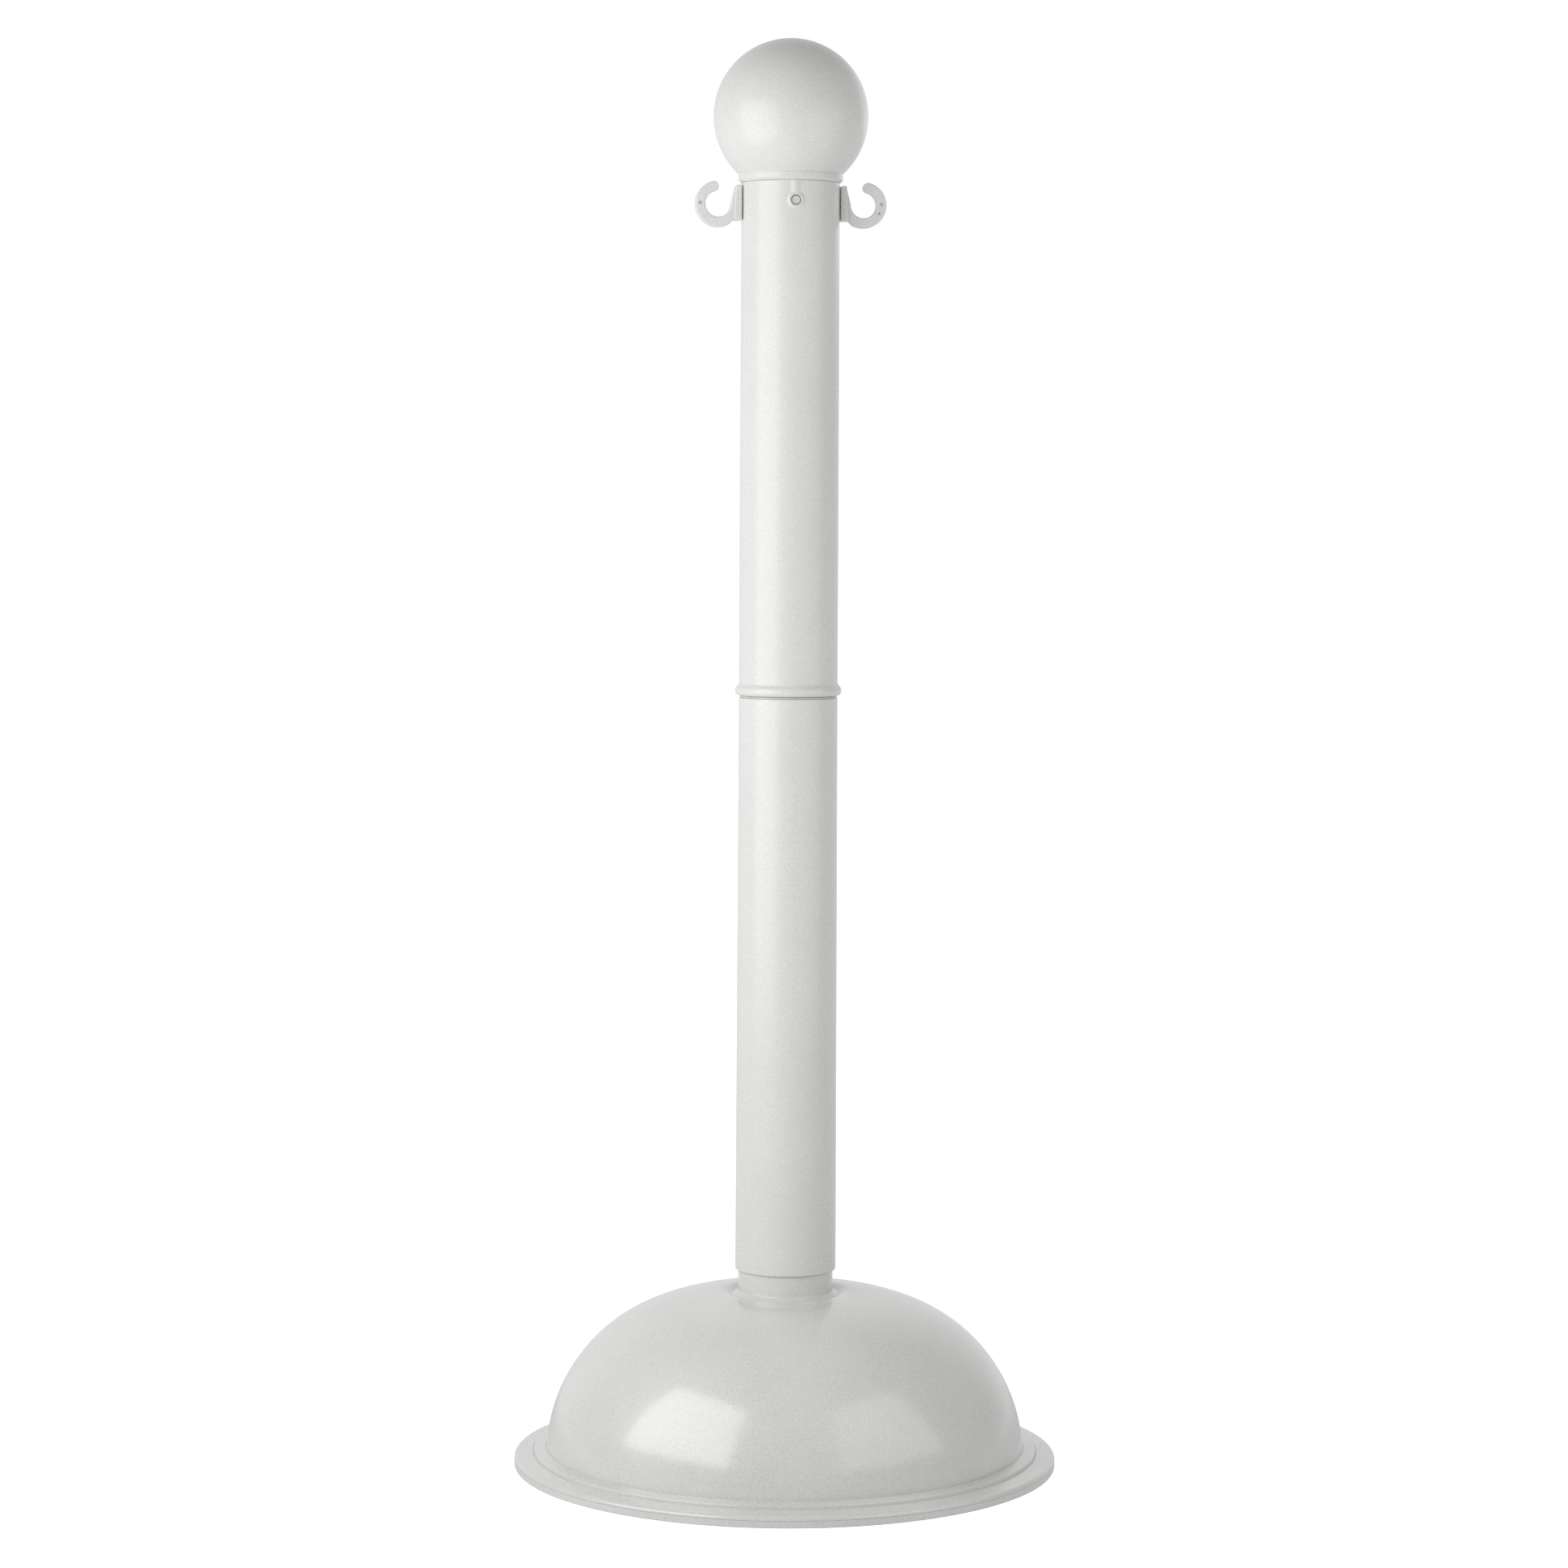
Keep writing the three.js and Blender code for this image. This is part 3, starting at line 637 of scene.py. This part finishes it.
def coupler_sleeve():
    inner = COUPLER_RADIUS - COUPLER_WALL
    seam = (COUPLER_LOW + COUPLER_HIGH) / 2
    rib_low, rib_high = seam - COUPLER_RIB_HALF, seam + COUPLER_RIB_HALF
    return turned(rounded([
        (inner, COUPLER_LOW, EDGE),
        (COUPLER_RADIUS, COUPLER_LOW, SOFT_EDGE),
        (COUPLER_RADIUS, rib_low),
        (COUPLER_RIB_RADIUS, rib_low, FINE_EDGE),
        (COUPLER_RIB_RADIUS, rib_high, FINE_EDGE),
        (COUPLER_RADIUS, rib_high),
        (COUPLER_RADIUS, COUPLER_HIGH, SOFT_EDGE),
        (inner, COUPLER_HIGH, EDGE),
    ]), POLE_ANGLES)


def smooth_step(value, start, end):
    share = min(max((value - start) / (end - start), 0), 1)
    return share * share * (3 - 2 * share)


def across(angle):
    """Distance around the tube's surface from the nearer of its two stud holes."""
    off = (math.degrees(angle) + 360) % 180 - 90
    return math.radians(off) * UPPER_TOP_RADIUS


def moulded_relief(angle, r, z):
    """How far the upper tube's outside stands out, and its inside draws back, around the way in of
    a stud."""
    x = across(angle)
    outside = r > UPPER_TOP_RADIUS - TUBE_WALL / 4
    if not outside:
        in_channel = abs(x) < CHANNEL_WIDTH / 2 and z > HOLE_HEIGHT - CHANNEL_WIDTH / 2
        return CHANNEL_FLOOR - (UPPER_TOP_RADIUS - TUBE_WALL) if in_channel else 0
    around = math.hypot(x, z - HOLE_HEIGHT)
    lip = LIP_PROUD * (1 - smooth_step(around, LIP_FLAT, LIP_RADIUS))
    lip -= LIP_ROUNDING * max(1 - (around - HOLE_RADIUS) / LIP_ROUNDING, 0) ** 2
    if abs(x) >= RIDGE_WIDTH / 2:
        return max(lip, 0)
    ridge = RIDGE_PROUD * math.cos(math.pi * x / RIDGE_WIDTH) ** 2
    return max(lip, ridge * smooth_step(z, HOLE_HEIGHT, HOLE_HEIGHT + LIP_FLAT))


def tube_angles():
    """Angles around the upper tube, close together over the moulded ridges."""
    fine_reach = math.radians(12)
    fine_count, plain_count = 48, 78
    angles = []
    for side in (0.5, 1.5):
        middle = side * math.pi
        angles += [middle + fine_reach * (2 * i / fine_count - 1) for i in range(fine_count)]
        start, sweep = middle + fine_reach, math.pi - 2 * fine_reach
        angles += [start + sweep * i / plain_count for i in range(plain_count)]
    return angles


def upper_tube():
    top = POLE_TOP + GAP / 2
    fine_low = HOLE_HEIGHT - LIP_RADIUS - 1
    fine_rows = 64
    row_heights = [fine_low + (top - EDGE - fine_low) * i / fine_rows for i in range(fine_rows + 1)]
    bead = arc(
        UPPER_FOOT_RADIUS, BEAD_MIDDLE, BEAD_PROUD, BEAD_START, BEAD_END, 20, BEAD_HALF_HEIGHT
    )
    bead_top = BEAD_MIDDLE + BEAD_HALF_HEIGHT
    inner_foot = UPPER_FOOT_RADIUS - TUBE_WALL
    inner_top = UPPER_TOP_RADIUS - TUBE_WALL
    channel_low = HOLE_HEIGHT - CHANNEL_WIDTH / 2
    profile = rounded([
        (inner_foot, UPPER_FOOT, EDGE),
        *bead[:-1],
        *[(UPPER_FOOT_RADIUS + out, bead_top + over, turn) for out, over, turn in BEAD_RUN_OUT],
        *[(UPPER_TOP_RADIUS, z) for z in row_heights],
        (UPPER_TOP_RADIUS - FINE_EDGE, top),
        (inner_top + EDGE, top),
        (inner_top, POLE_TOP - EDGE),
        (inner_top, channel_low + 0.2),
        (inner_top, channel_low),
    ])
    bore = pin(HOLE_RADIUS, inner_top - 1, UPPER_TOP_RADIUS + 3)
    holes = [spoke(bore, degrees, HOLE_HEIGHT) for degrees in (0, 90, 180, 270)]
    return cut(turned(profile, tube_angles(), moulded_relief), *holes)


# ---- Ball top ------------------------------------------------------------------------------------
def ball_top():
    inner = BALL_RADIUS - BALL_WALL
    skirt_inner = SKIRT_RADIUS - SKIRT_WALL
    under_collar = POLE_TOP + GAP
    inner_end = -math.degrees(math.acos(skirt_inner / inner))
    outer_start = math.degrees(math.asin((COLLAR_TOP + BALL_START - BALL_CENTRE) / BALL_RADIUS))
    inside = arc(0, BALL_CENTRE, inner, 90, inner_end, 32)
    outside = arc(0, BALL_CENTRE, BALL_RADIUS, outer_start, 90, 80)
    profile = rounded([
        (0, inside[0][1]),
        *inside[1:],
        (skirt_inner, SKIRT_LOW, SKIRT_EDGE),
        (SKIRT_RADIUS, SKIRT_LOW, SKIRT_LEAD_IN),
        (SKIRT_RADIUS, under_collar, EDGE),
        (COLLAR_RADIUS - COLLAR_CHAMFER, under_collar, COLLAR_FOOT_EDGE),
        (COLLAR_RADIUS, under_collar + COLLAR_CHAMFER, COLLAR_EDGE),
        (COLLAR_RADIUS, COLLAR_TOP, COLLAR_SHOULDER),
        (outside[0][0] - CREASE_INSET, outside[0][1] - CREASE_DROP, SOFT_EDGE),
        *outside[:-1],
        (0, outside[-1][1]),
    ])
    latch_half = LATCH_WIDTH / 2 + GAP
    peg_half = PEG_RADIUS + PEG_CLEARANCE
    inside_skirt, past_skirt, below = skirt_inner - 3, SKIRT_RADIUS + 1, SKIRT_LOW - 1
    latch_window = (-latch_half, inside_skirt, below), (latch_half, past_skirt, LATCH_ROOT + GAP)
    peg_window = (inside_skirt, -peg_half, below), (past_skirt, peg_half, HOLE_HEIGHT + peg_half)
    openings = (latch_window, peg_window)
    windows = [spun(box(*opening), side) for opening in openings for side in (0, 180)]
    return cut(turned(profile, POLE_ANGLES), *windows)


def latch(degrees):
    """A snap tongue with its stud, facing the direction given in degrees from +X."""
    skirt_inner = SKIRT_RADIUS - SKIRT_WALL
    half_turn = math.asin(LATCH_WIDTH / 2 / SKIRT_RADIUS)
    angles = [half_turn * (i / 8 - 1) for i in range(17)]
    tongue = turned(rounded([
        (skirt_inner, LATCH_LOW, SKIRT_EDGE),
        (SKIRT_RADIUS, LATCH_LOW, LATCH_LEAD_IN),
        (SKIRT_RADIUS, LATCH_ROOT, FINE_EDGE),
        (skirt_inner, LATCH_ROOT, FINE_EDGE),
    ]), angles, whole=False)
    stud = rounded([
        (0, skirt_inner + 1),
        (STUD_RADIUS, skirt_inner + 1),
        (STUD_RADIUS, STUD_FACE, STUD_ROUNDING),
        (0, STUD_FACE),
    ])
    return spun(joined(tongue, spoke(stud, 0, HOLE_HEIGHT)), degrees)


# ---- Chain hooks ---------------------------------------------------------------------------------
def arm_outline(inset):
    """The C from its side: under the plate, round the outside, over the tip, back inside."""
    middle, half = (HOOK_INNER + HOOK_OUTER) / 2, (HOOK_OUTER - HOOK_INNER) / 2
    tip = math.radians(HOOK_TIP_ANGLE)
    tip_x, tip_z = HOOK_CENTRE + middle * math.cos(tip), HOOK_HEIGHT + middle * math.sin(tip)
    outer = HOOK_OUTER - inset
    outside = arc(HOOK_CENTRE, HOOK_HEIGHT, outer, HOOK_BEND_START, HOOK_TIP_ANGLE, 56)
    start = Vector((PLATE_BACK + PLATE_THICK_HIGH, PLATE_LOW + ARM_INSET + inset))
    pull = Vector((PLATE_BACK + ARM_PULL, PLATE_LOW + inset))
    end = Vector(outside[0])
    steps = [i / 8 for i in range(8)]
    under = [tuple(start * (1 - t) ** 2 + pull * 2 * t * (1 - t) + end * t * t) for t in steps]
    return [
        (PLATE_BACK + ARM_ROOT, PLATE_LOW + ARM_HEEL + inset),
        *under,
        *outside,
        *arc(tip_x, tip_z, half - inset, HOOK_TIP_ANGLE, HOOK_TIP_ANGLE + 180, 14)[1:-1],
        *arc(HOOK_CENTRE, HOOK_HEIGHT, HOOK_INNER + inset, HOOK_TIP_ANGLE, -180, 56),
        (PLATE_BACK + PLATE_THICK_HIGH - inset, PLATE_HIGH - ARM_INSET - inset),
        (PLATE_BACK + ARM_ROOT, PLATE_HIGH - ARM_INSET - inset),
    ]


def plate_outline(inset):
    corner = max(PLATE_ROUNDING * 1.5 - inset, 0.3)
    return rounded([
        (PLATE_BACK + inset, PLATE_LOW + inset, corner),
        (PLATE_BACK + PLATE_THICK_LOW - inset, PLATE_LOW + inset, corner),
        (PLATE_BACK + PLATE_THICK_HIGH - inset, PLATE_HIGH - inset, corner),
        (PLATE_BACK + inset, PLATE_HIGH - inset, corner),
    ])


def ejector_mark(side, degrees, radius):
    """A shallow round dimple in the arm's front (side -1) or rear face, made as what it removes."""
    middle = (HOOK_INNER + HOOK_OUTER) / 2
    a = math.radians(degrees)
    face = HOOK_WIDTH / 2
    mark = turned(pin(radius, face - EJECTOR_DEPTH, face + 1), even_angles(24))
    lean = Matrix.Rotation(math.radians(90 if side < 0 else -90), 4, "X")
    spot = (HOOK_CENTRE + middle * math.cos(a), 0, HOOK_HEIGHT + middle * math.sin(a))
    return moved(mark, Matrix.Translation(Vector(spot) * MM) @ lean)


def hook(degrees):
    """A chain hook with its split peg, facing the direction given in degrees from +X."""
    peg = rounded([
        (0, PEG_END),
        (PEG_RADIUS - PEG_TAPER, PEG_END, PEG_EDGE),
        (PEG_RADIUS, PEG_END + PEG_NOSE, PEG_EDGE),
        (PEG_RADIUS, PLATE_BACK + ARM_ROOT),
        (0, PLATE_BACK + ARM_ROOT),
    ])
    half = PEG_SPLIT / 2
    past = PEG_RADIUS + 1
    split_root = PLATE_BACK - PEG_SPLIT_ROOT
    split = box((PEG_END - 1, -half, HOLE_HEIGHT - past), (split_root, half, HOLE_HEIGHT + past))
    marks = [ejector_mark(*mark) for mark in EJECTOR_MARKS]
    arm = cut(slab(arm_outline, HOOK_WIDTH, HOOK_ROUNDING), *marks)
    plate = slab(plate_outline, PLATE_WIDTH, PLATE_ROUNDING)
    return spun(joined(plate, arm, cut(spoke(peg, 0, HOLE_HEIGHT), split)), degrees)


# ---- The pieces ----------------------------------------------------------------------------------
def build_pieces():
    piece("base_shell", "base", gloss_white, base_shell())
    piece("base_pan", "base", gloss_white, base_pan())
    piece("filler_plug", "filler_plug", grey_plastic, filler_plug())
    piece("filler_seal", "filler_seal", seal_rubber, filler_seal())
    piece("lower_tube", "lower_pole", satin_white, lower_tube())
    piece("coupler_sleeve", "coupler", satin_white, coupler_sleeve())
    piece("upper_tube", "upper_pole", satin_white, upper_tube())
    piece("ball_top", "ball", satin_white, ball_top())
    for name, degrees in (("latch_front", -90), ("latch_rear", 90)):
        piece(name, name, satin_white, latch(degrees))
    for name, degrees in (("hook_right", 0), ("hook_left", 180)):
        piece(name, name, satin_white, hook(degrees))


# ---- Studio --------------------------------------------------------------------------------------
CAMERA_DISTANCE = 3.055  # metres from the pole's axis
CAMERA_AZIMUTH = -6.3  # degrees from the front, negative to the left
CAMERA_HEIGHT = 0.726
CAMERA_AIM_HEIGHT = 0.5117
CAMERA_AIM_LEFT = 0.0028  # the aim passes this far to the left of the pole's axis
CAMERA_ROLL = 0.28  # degrees
CAMERA_LENS = 94.4
CAMERA_SENSOR = 36

AMBIENT = 0.39  # brightness of the studio around
BACKDROP = 0.78  # brightness of the wall behind the object, to light and reflections
WALL_EDGE = (0.35, 0.9)  # the wall fades in between these cosines from straight behind
PAPER = 1.0  # brightness of the wall and the floor as the eye sees them
FLOOR_RINGS = (0.5, 2.0, 8.0, 40.0)  # radii in metres
FLOOR_GLOW = 0.30  # the floor's own light in front of the object, as light and reflections find it
FLOOR_GLOW_BEHIND = 0.55
FLOOR_BRIGHTENS = (0.25, 0.8)  # metres behind the pole's axis
FLOOR_SHADE = 0.4


def place_around(azimuth, distance, height):
    """A point around the pole; azimuth 0 is the front and 90 the right."""
    a = math.radians(azimuth)
    return Vector((distance * math.sin(a), -distance * math.cos(a), height))


def make_camera():
    data = bpy.data.cameras.new("camera")
    data.lens = CAMERA_LENS
    data.sensor_width = CAMERA_SENSOR
    camera = bpy.data.objects.new("camera", data)
    bpy.context.scene.collection.objects.link(camera)
    camera.location = place_around(CAMERA_AZIMUTH, CAMERA_DISTANCE, CAMERA_HEIGHT)
    left = place_around(CAMERA_AZIMUTH - 90, CAMERA_AIM_LEFT, 0)
    aim = Vector((0, 0, CAMERA_AIM_HEIGHT)) + left
    look = (aim - camera.location).to_track_quat("-Z", "Y").to_matrix().to_4x4()
    roll = Matrix.Rotation(math.radians(CAMERA_ROLL), 4, "Z")
    camera.matrix_world = Matrix.Translation(camera.location) @ look @ roll
    bpy.context.scene.camera = camera


def softbox(name, azimuth, distance, height, width, tall, radiance, spread=180):
    """A rectangular lamp that faces the pole, evenly bright within its spread in degrees."""
    data = bpy.data.lights.new(name, "AREA")
    data.shape = "RECTANGLE"
    data.size = width
    data.size_y = tall
    data.energy = radiance * math.pi * width * tall
    data.spread = math.radians(spread)
    lamp = bpy.data.objects.new(name, data)
    bpy.context.scene.collection.objects.link(lamp)
    lamp.location = place_around(azimuth, distance, height)
    aim = Vector((0, 0, height)) - lamp.location
    lamp.rotation_euler = aim.to_track_quat("-Z", "Y").to_euler()
    lamp.visible_camera = False


def seen_directly(tree, lit, shown):
    """A value that is one thing to light and reflections and another to the eye."""
    path = tree.nodes.new("ShaderNodeLightPath")
    mix = tree.nodes.new("ShaderNodeMix")
    mix.inputs["B"].default_value = shown
    tree.links.new(path.outputs["Is Camera Ray"], mix.inputs["Factor"])
    tree.links.new(lit, mix.inputs["A"])
    return mix.outputs["Result"]


def make_world():
    """An even, dim studio with a white wall behind the object."""
    world = bpy.data.worlds.new("studio")
    world.use_nodes = True
    bpy.context.scene.world = world
    nodes, links = world.node_tree.nodes, world.node_tree.links
    direction = nodes.new("ShaderNodeTexCoord")
    split = nodes.new("ShaderNodeSeparateXYZ")
    wall = nodes.new("ShaderNodeMapRange")
    wall.interpolation_type = "SMOOTHSTEP"
    for socket, value in zip(wall.inputs[1:5], (*WALL_EDGE, AMBIENT, BACKDROP)):
        socket.default_value = value
    links.new(direction.outputs["Generated"], split.inputs["Vector"])
    links.new(split.outputs["Y"], wall.inputs["Value"])
    strength = seen_directly(world.node_tree, wall.outputs["Result"], PAPER)
    links.new(strength, nodes["Background"].inputs["Strength"])
    nodes["Background"].inputs["Color"].default_value = (1, 1, 1, 1)


def make_floor():
    """A plain floor of white paper, on which no shadow shows."""
    mesh = bmesh.new()
    angles = even_angles(64)
    loops = [
        [mesh.verts.new((r * math.cos(a), r * math.sin(a), 0)) for a in angles] for r in FLOOR_RINGS
    ]
    mesh.faces.new(loops[0])
    for inner, outer in zip(loops, loops[1:]):
        for i in range(len(angles)):
            j = (i + 1) % len(angles)
            mesh.faces.new((inner[i], outer[i], outer[j], inner[j]))
    data = bpy.data.meshes.new("floor")
    mesh.to_mesh(data)
    mesh.free()
    material = bpy.data.materials.new("white_paper")
    material.use_nodes = True
    tree = material.node_tree
    shader = tree.nodes["Principled BSDF"]
    shader.inputs["Base Color"].default_value = (*[FLOOR_SHADE] * 3, 1)
    shader.inputs["Roughness"].default_value = 0.9
    shader.inputs["Specular IOR Level"].default_value = 0.1
    shader.inputs["Emission Color"].default_value = (1, 1, 1, 1)
    place = tree.nodes.new("ShaderNodeTexCoord")
    split = tree.nodes.new("ShaderNodeSeparateXYZ")
    sweep = tree.nodes.new("ShaderNodeMapRange")
    for socket, value in zip(sweep.inputs[1:5], (*FLOOR_BRIGHTENS, FLOOR_GLOW, FLOOR_GLOW_BEHIND)):
        socket.default_value = value
    tree.links.new(place.outputs["Object"], split.inputs["Vector"])
    tree.links.new(split.outputs["Y"], sweep.inputs["Value"])
    glow = seen_directly(tree, sweep.outputs["Result"], PAPER)
    tree.links.new(glow, shader.inputs["Emission Strength"])
    data.materials.append(material)
    floor = bpy.data.objects.new("floor", data)
    bpy.context.scene.collection.objects.link(floor)


build_pieces()
make_camera()
make_world()
make_floor()
softbox("left_softbox", azimuth=-58, distance=0.95, height=0.76, width=1.0, tall=1.05, radiance=2.4)
softbox("right_softbox", azimuth=45, distance=0.95, height=0.70, width=0.9, tall=1.0, radiance=0.85)
softbox(
    "rear_softbox",
    azimuth=140, distance=1.1, height=1.25, width=0.8, tall=0.6, radiance=0.07, spread=60,
)
bpy.context.scene.view_settings.view_transform = "Standard"
